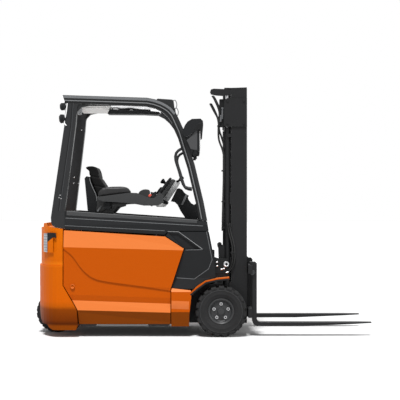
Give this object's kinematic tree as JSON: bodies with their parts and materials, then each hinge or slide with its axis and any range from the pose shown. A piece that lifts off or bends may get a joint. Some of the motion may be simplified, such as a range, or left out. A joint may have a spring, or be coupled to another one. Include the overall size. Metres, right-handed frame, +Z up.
{
  "type": "forklift truck",
  "caption": "Compact electric counterbalance forklift with a telescoping tilting mast, forks on a carriage, an open overhead guard and steered twin rear wheels.",
  "frame": {"origin": "on the floor under the middle of the truck's box", "axes": "+X forward, out of the forks; +Y to the driver's left; +Z up"},
  "size_m": [3.047, 1.08, 2.239],
  "materials": {
    "orange_paint": "gloss",
    "cast_paint": "satin",
    "dark_plastic": "matte",
    "guard_paint": "satin",
    "mast_paint": "satin",
    "frame_paint": "satin",
    "tyre_rubber": "matte",
    "hose_rubber": "matte",
    "bright_steel": "satin",
    "rim_paint": "satin",
    "seat_fabric": "matte",
    "grey_plastic": "satin",
    "lamp_plastic": "gloss",
    "battery_steel": "satin"
  },
  "bodies": {
    "truck": {"chassis_frame": "frame_paint", "battery": "battery_steel", "seat_deck": "dark_plastic", "counterweight": "cast_paint", "tail_lamp_right": "lamp_plastic", "tail_lamp_left": "lamp_plastic", "side_panel_left": "orange_paint", "fender_right": "orange_paint", "fender_left": "orange_paint", "cowl_right": "dark_plastic", "cowl_left": "dark_plastic", "belt_panel": "dark_plastic", "guard_side_right": "guard_paint", "guard_side_left": "guard_paint", "roof_grille": "guard_paint", "rear_lamps_right": "dark_plastic", "rear_lamps_left": "dark_plastic", "front_lamp_right": "dark_plastic", "front_lamp_left": "dark_plastic", "dashboard": "dark_plastic", "pedals": "frame_paint", "steering_column": "dark_plastic", "steering_cover": "grey_plastic", "seat_shell": "dark_plastic", "seat_base": "dark_plastic", "seat_cushion": "seat_fabric", "seat_back": "seat_fabric", "armrest": "grey_plastic", "armrest_pad": "seat_fabric", "control_levers": "dark_plastic", "drive_axle": "frame_paint"},
    "battery_door": {"battery_door": "orange_paint"},
    "steering_wheel": {"steering_wheel": "dark_plastic"},
    "front_wheel_right": {"front_tyre_right": "tyre_rubber", "front_rim_right": "rim_paint"},
    "front_wheel_left": {"front_tyre_left": "tyre_rubber", "front_rim_left": "rim_paint"},
    "rear_turret": {"steer_yoke": "frame_paint"},
    "rear_wheels": {"rear_tyre_right": "tyre_rubber", "rear_tyre_left": "tyre_rubber", "rear_hub": "rim_paint"},
    "mast_outer": {"outer_mast": "mast_paint", "lift_barrel_right": "mast_paint", "lift_barrel_left": "mast_paint", "side_hoses": "hose_rubber", "back_hoses": "hose_rubber"},
    "mast_inner": {"inner_mast": "mast_paint", "lift_rod_right": "bright_steel", "lift_rod_left": "bright_steel", "lift_chain_right": "bright_steel", "lift_chain_left": "bright_steel"},
    "carriage": {"carriage": "mast_paint", "fork_right": "mast_paint", "fork_left": "mast_paint"},
    "tilt_barrel_right": {"tilt_barrel_right": "mast_paint"},
    "tilt_barrel_left": {"tilt_barrel_left": "mast_paint"},
    "tilt_rod_right": {"tilt_rod_right": "bright_steel"},
    "tilt_rod_left": {"tilt_rod_left": "bright_steel"}
  },
  "joints": [
    {"name": "battery_door_hinge", "type": "hinge", "parent": "truck", "child": "battery_door", "pos_m": [-1.2275, -0.54, 0.53], "axis": [0, 0, -1], "range_deg": [0, 95]},
    {"name": "steering_wheel_turn", "type": "hinge", "parent": "truck", "child": "steering_wheel", "pos_m": [-0.3785, 0, 1.296], "axis": [0.8139, 0, -0.581], "range_deg": [-540, 540]},
    {"name": "front_wheel_right_roll", "type": "hinge", "parent": "truck", "child": "front_wheel_right", "pos_m": [0.1715, -0.4575, 0.2285], "axis": [0, 1, 0], "continuous": true},
    {"name": "front_wheel_left_roll", "type": "hinge", "parent": "truck", "child": "front_wheel_left", "pos_m": [0.1715, 0.4575, 0.2285], "axis": [0, 1, 0], "continuous": true},
    {"name": "rear_steer", "type": "hinge", "parent": "truck", "child": "rear_turret", "pos_m": [-1.3335, 0, 0.4], "axis": [0, 0, 1], "range_deg": [-90, 90]},
    {"name": "rear_wheels_roll", "type": "hinge", "parent": "rear_turret", "child": "rear_wheels", "pos_m": [-1.3335, 0, 0.19], "axis": [0, 1, 0], "continuous": true},
    {"name": "mast_tilt", "type": "hinge", "parent": "truck", "child": "mast_outer", "pos_m": [0.2315, 0, 0.21], "axis": [0, -1, 0], "range_deg": [-5, 7]},
    {"name": "mast_lift", "type": "slide", "parent": "mast_outer", "child": "mast_inner", "axis": [0, 0, 1], "range_m": [-0.04, 1.45]},
    {"name": "carriage_lift", "type": "slide", "parent": "mast_inner", "child": "carriage", "axis": [0, 0, 1], "range_m": [-0.04, 1.45], "deforming": ["lift_chain_right", "lift_chain_left"]},
    {"name": "tilt_barrel_right_swing", "type": "hinge", "parent": "truck", "child": "tilt_barrel_right", "pos_m": [-0.1585, -0.17, 0.6], "axis": [0, -1, 0], "range_deg": [-3, 3]},
    {"name": "tilt_barrel_left_swing", "type": "hinge", "parent": "truck", "child": "tilt_barrel_left", "pos_m": [-0.1585, 0.17, 0.6], "axis": [0, -1, 0], "range_deg": [-3, 3]},
    {"name": "tilt_rod_right_slide", "type": "slide", "parent": "tilt_barrel_right", "child": "tilt_rod_right", "axis": [0.9948, 0, 0.1015], "range_m": [-0.06, 0.045]},
    {"name": "tilt_rod_left_slide", "type": "slide", "parent": "tilt_barrel_left", "child": "tilt_rod_left", "axis": [0.9948, 0, 0.1015], "range_m": [-0.06, 0.045]}
  ],
  "couplings": [
    {"joint": "steering_wheel_turn", "follows": "rear_steer", "ratio": 6},
    {"joint": "carriage_lift", "follows": "mast_lift", "ratio": 1},
    {"joint": "tilt_barrel_right_swing", "follows": "mast_tilt", "ratio": 0.1006},
    {"joint": "tilt_barrel_left_swing", "follows": "mast_tilt", "ratio": 0.1006},
    {"joint": "tilt_rod_right_slide", "follows": "mast_tilt", "m_per_rad": -0.4265},
    {"joint": "tilt_rod_left_slide", "follows": "mast_tilt", "m_per_rad": -0.4265}
  ]
}
